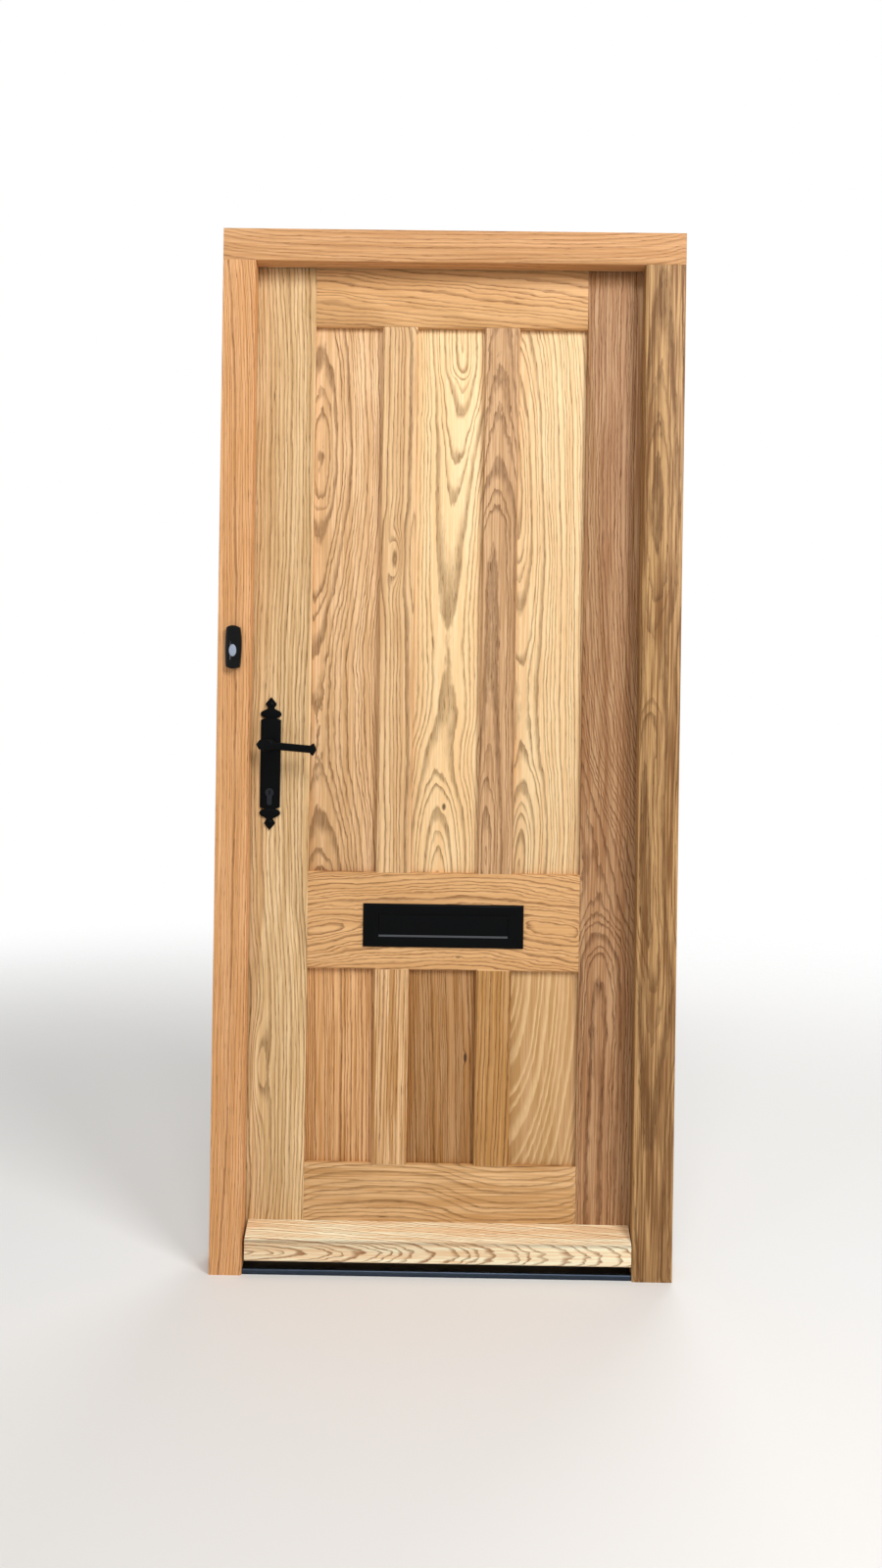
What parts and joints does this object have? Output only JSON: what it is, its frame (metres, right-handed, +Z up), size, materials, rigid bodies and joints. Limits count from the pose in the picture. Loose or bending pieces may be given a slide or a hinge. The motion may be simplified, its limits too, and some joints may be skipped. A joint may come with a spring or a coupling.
{
  "type": "panelled front door",
  "caption": "Inward-opening panelled oak front door in its rebated oak frame, with lever furniture, mortice lock, letter plate, weatherboard, threshold and bell push.",
  "frame": {"origin": "middle of the threshold's underside, at the middle of the doorway between the jambs' stops and of the frame's depth, on the ground", "axes": "+X to the right seen from outside, +Y from outside to inside, +Z up"},
  "size_m": [0.882, 0.1596, 1.996],
  "materials": {
    "oak_frame": "oiled, satin",
    "oak_leaf": "oiled, satin",
    "oak_panels": "oiled, satin",
    "pale_oak": "bare, planed",
    "black_iron": "satin black powder coat",
    "black_threshold": "satin black on aluminium",
    "plated_steel": "bright zinc plate",
    "cylinder_black": "black lacquer on brass",
    "seal_rubber": "matt",
    "bell_black": "gloss",
    "bell_button_grey": "gloss"
  },
  "bodies": {
    "frame": {"latch_jamb": "oak_frame", "hinge_jamb": "oak_frame", "frame_head": "oak_frame", "threshold": "black_threshold", "threshold_seal": "seal_rubber", "latch_seal": "seal_rubber", "hinge_seal": "seal_rubber", "head_seal": "seal_rubber", "strike_plate": "plated_steel", "frame_screws": "plated_steel", "frame_hinge_plates": "plated_steel", "bell_base": "bell_black", "bell_cover": "bell_black", "bell_spring": "plated_steel"},
    "bell_push_button": {"bell_button": "bell_button_grey"},
    "leaf": {"latch_stile": "oak_leaf", "hinge_stile": "oak_leaf", "top_rail": "oak_leaf", "mid_rail": "oak_leaf", "bottom_rail": "oak_leaf", "weatherboard": "pale_oak", "upper_panel_1": "oak_panels", "upper_panel_2": "oak_panels", "upper_panel_3": "oak_panels", "lower_panel_1": "oak_panels", "lower_panel_2": "oak_panels", "lower_panel_3": "oak_panels", "upper_muntin_1": "oak_leaf", "upper_muntin_2": "oak_leaf", "lower_muntin_1": "oak_leaf", "lower_muntin_2": "oak_leaf", "door_hinge_plates": "plated_steel", "hinge_pins": "plated_steel", "door_screws": "plated_steel", "lock_case": "plated_steel", "lock_cover": "plated_steel", "lock_faceplate": "plated_steel", "latch_spring": "plated_steel", "outside_backplate": "black_iron", "inside_backplate": "black_iron", "backplate_screws": "black_iron", "cylinder_body": "cylinder_black", "cylinder_screw": "plated_steel", "letter_plate": "black_iron", "flap_pin": "plated_steel", "inner_letter_plate": "black_iron", "inner_flap_pin": "plated_steel", "letter_bolts": "plated_steel"},
    "levers": {"outside_lever": "black_iron", "inside_lever": "black_iron", "spindle": "plated_steel", "follower": "plated_steel"},
    "latch": {"latch_bolt": "plated_steel"},
    "dead": {"dead_bolt": "plated_steel"},
    "plugs": {"outside_plug": "cylinder_black", "inside_plug": "cylinder_black", "cylinder_cam": "cylinder_black"},
    "outer_flap": {"letter_flap": "black_iron"},
    "inner_flap": {"inner_letter_flap": "black_iron"}
  },
  "joints": [
    {"name": "door_swing", "type": "hinge", "parent": "frame", "child": "leaf", "pos_m": [0.3825, 0.053, 1], "axis": [0, 0, -1], "range_deg": [0, 100]},
    {"name": "lever_turn", "type": "hinge", "parent": "leaf", "child": "levers", "pos_m": [-0.336, 0.02, 1.011], "axis": [0, 1, 0], "range_deg": [0, 35], "stiffness_Nm_per_rad": 1, "springref_deg": -28.65},
    {"name": "latch_slide", "type": "slide", "parent": "leaf", "child": "latch", "axis": [1, 0, 0], "range_m": [0, 0.012], "deforming": ["latch_spring"]},
    {"name": "key_turn", "type": "hinge", "parent": "leaf", "child": "plugs", "pos_m": [-0.336, 0.02, 0.919], "axis": [0, -1, 0], "range_deg": [0, 360]},
    {"name": "dead_bolt_slide", "type": "slide", "parent": "leaf", "child": "dead", "axis": [-1, 0, 0], "range_m": [0, 0.02]},
    {"name": "letter_flap_swing", "type": "hinge", "parent": "leaf", "child": "outer_flap", "pos_m": [0.0035, -0.005, 0.6831], "axis": [1, 0, 0], "range_deg": [0, 60], "stiffness_Nm_per_rad": 0.05, "springref_deg": -34.38},
    {"name": "inner_flap_swing", "type": "hinge", "parent": "leaf", "child": "inner_flap", "pos_m": [0.0035, 0.0528, 0.6905], "axis": [1, 0, 0], "range_deg": [0, 80], "stiffness_Nm_per_rad": 0.02, "springref_deg": -28.65},
    {"name": "bell_press", "type": "slide", "parent": "frame", "child": "bell_push_button", "axis": [0, 1, 0], "range_m": [0, 0.0015], "stiffness_N_per_m": 500, "springref_m": -0.002, "deforming": ["bell_spring"]}
  ],
  "couplings": [
    {"joint": "latch_slide", "follows": "lever_turn", "m_per_rad": 0.019644},
    {"joint": "key_turn", "follows": "dead_bolt_slide", "rad_per_m": 314.16}
  ]
}
